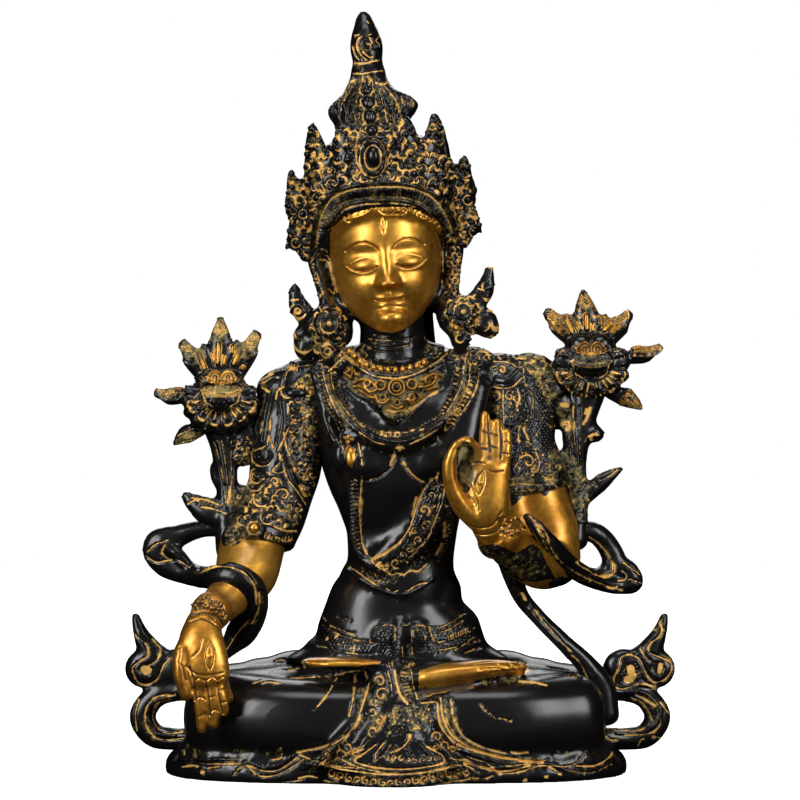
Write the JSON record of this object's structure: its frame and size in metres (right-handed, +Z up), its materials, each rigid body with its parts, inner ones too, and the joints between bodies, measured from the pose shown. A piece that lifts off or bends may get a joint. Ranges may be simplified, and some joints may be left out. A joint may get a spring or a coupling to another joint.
{
  "type": "buddhist deity statue",
  "caption": "Seated crowned goddess on a thin oval base, one hand lowered in giving and one raised, with a lotus at each shoulder; cast brass figure for a shelf or altar",
  "frame": {"origin": "middle of the footprint at the underside of the base", "axes": "+Z up, the figure faces -Y, +X on the viewer's right"},
  "size_m": [0.239, 0.116, 0.3299],
  "materials": {
    "lacquered_brass": "gloss black lacquer over cast brass, rubbed gold in the grooves, gilt lacquer on face, hands and soles"
  },
  "bodies": {
    "root": {"statue": "lacquered_brass"}
  },
  "joints": []
}
